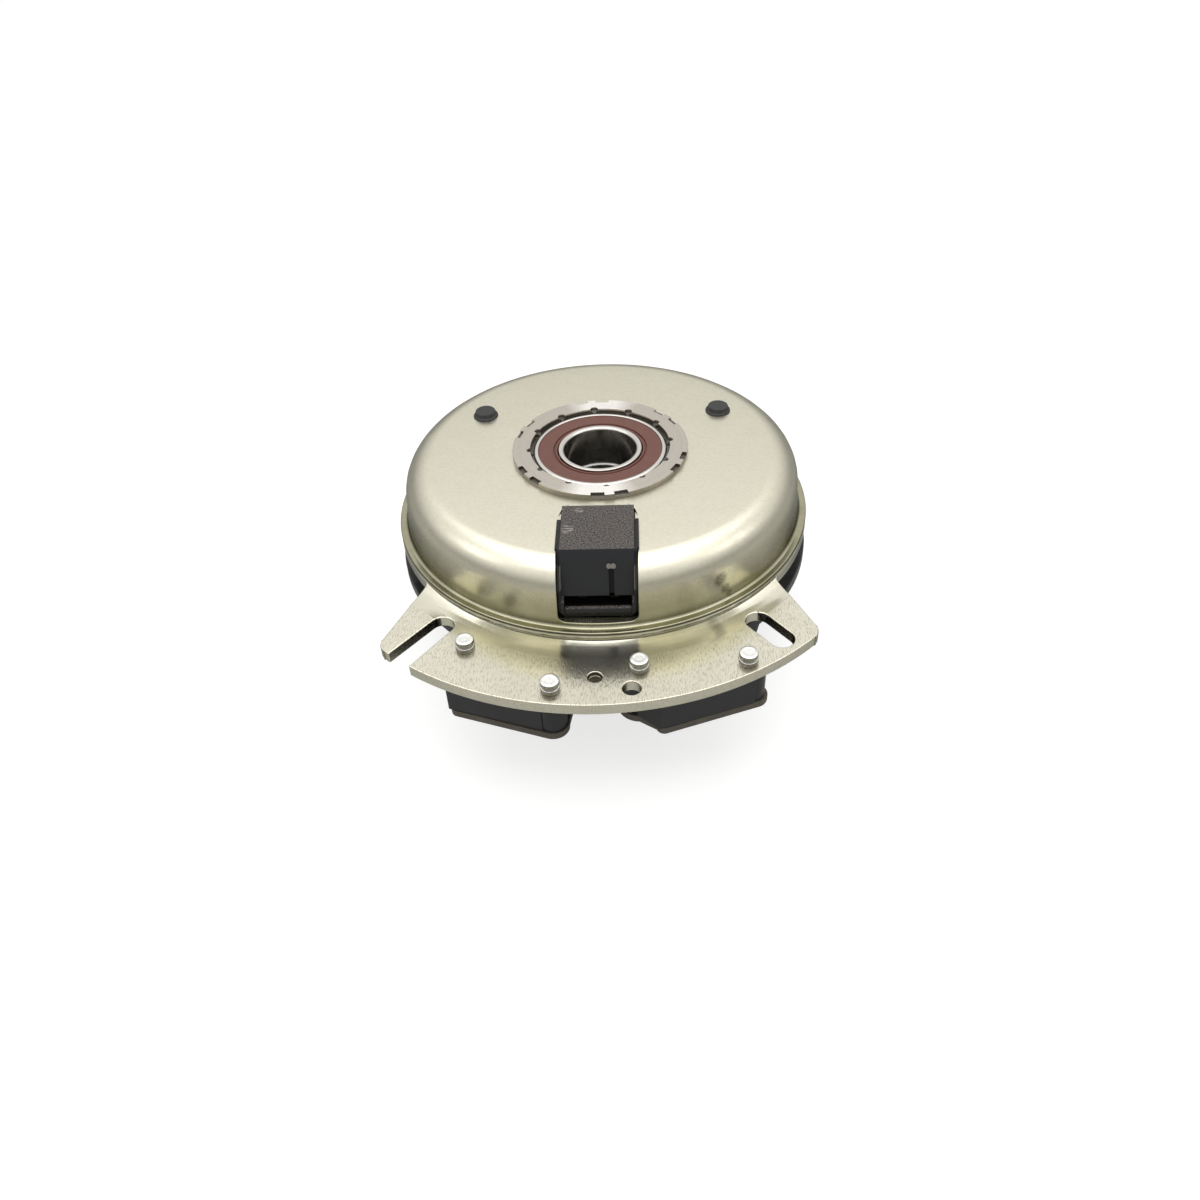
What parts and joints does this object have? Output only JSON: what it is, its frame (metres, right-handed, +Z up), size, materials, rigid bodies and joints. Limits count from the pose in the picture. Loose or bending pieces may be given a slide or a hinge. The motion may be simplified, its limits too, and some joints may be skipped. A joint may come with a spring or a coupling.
{
  "type": "electric pto clutch",
  "caption": "Electric power take-off clutch: steel coil shell with slotted mounting ears, socket, magnet brakes and a grooved belt pulley turning on a keyed hub.",
  "frame": {"origin": "on the shaft axis, at the pulley end of the bore and in the plane the clutch stands on", "axes": "+Z up the shaft axis towards the coil shell, -Y through the electric socket and the mounting ears"},
  "size_m": [0.148, 0.1761, 0.0717],
  "materials": {
    "zinc_steel": "satin, faint yellow passivation",
    "turned_steel": "turned, bright",
    "bearing_steel": "ground",
    "pressed_steel": "satin",
    "spring_steel": "dark oiled",
    "dark_steel": "dark brown oxide",
    "black_paint": "satin black",
    "rivet_metal": "satin",
    "black_plastic": "matt, grained",
    "black_rubber": "matt",
    "seal_rubber": "smooth, red-brown",
    "copper": "enamelled",
    "resin": "cast",
    "terminal_brass": "tinned",
    "ferrite": "sintered, matt"
  },
  "bodies": {
    "field": {"field_cup": "zinc_steel", "mounting_plate": "zinc_steel", "field_hub": "turned_steel", "coil_bobbin": "black_plastic", "coil_winding": "copper", "coil_potting": "resin", "connector_housing": "black_plastic", "connector_terminals": "terminal_brass", "vent_plugs": "black_rubber", "field_bearing_outer_ring": "bearing_steel", "field_bearing_seals": "seal_rubber", "brake_spacer_a": "black_plastic", "brake_spacer_b": "black_plastic", "brake_magnets": "ferrite", "brake_pole_a": "dark_steel", "brake_pole_b": "dark_steel", "brake_rivets": "rivet_metal"},
    "field_ball_set": {"field_bearing_balls": "bearing_steel", "field_bearing_cage": "pressed_steel"},
    "rotor": {"rotor": "turned_steel", "rotor_hub": "turned_steel", "field_bearing_inner_ring": "bearing_steel", "pulley_bearing_inner_ring": "bearing_steel", "rotor_snap_ring": "spring_steel"},
    "pulley_ball_set": {"pulley_bearing_balls": "bearing_steel", "pulley_bearing_cage": "pressed_steel"},
    "pulley": {"pulley": "black_paint", "pulley_bearing_outer_ring": "bearing_steel", "pulley_bearing_seals": "seal_rubber", "pulley_snap_ring": "spring_steel", "pulley_rivets": "pressed_steel", "leaf_springs": "spring_steel"},
    "armature": {"armature": "black_paint", "armature_rivets": "pressed_steel"}
  },
  "joints": [
    {"name": "rotor_spin", "type": "hinge", "parent": "field", "child": "rotor", "pos_m": [0, 0, 0.0629], "axis": [0, 0, 1], "continuous": true},
    {"name": "pulley_spin", "type": "hinge", "parent": "rotor", "child": "pulley", "pos_m": [0, 0, 0.0135], "axis": [0, 0, 1], "continuous": true},
    {"name": "armature_slide", "type": "slide", "parent": "pulley", "child": "armature", "axis": [0, 0, 1], "range_m": [0, 0.00045], "stiffness_N_per_m": 20000, "deforming": ["leaf_springs"]},
    {"name": "field_balls_roll", "type": "hinge", "parent": "field", "child": "field_ball_set", "pos_m": [0, 0, 0.0629], "axis": [0, 0, 1], "continuous": true},
    {"name": "pulley_balls_roll", "type": "hinge", "parent": "rotor", "child": "pulley_ball_set", "pos_m": [0, 0, 0.0135], "axis": [0, 0, 1], "continuous": true}
  ],
  "couplings": [
    {"joint": "field_balls_roll", "follows": "rotor_spin", "ratio": 0.3903},
    {"joint": "pulley_balls_roll", "follows": "pulley_spin", "ratio": 0.5866}
  ]
}
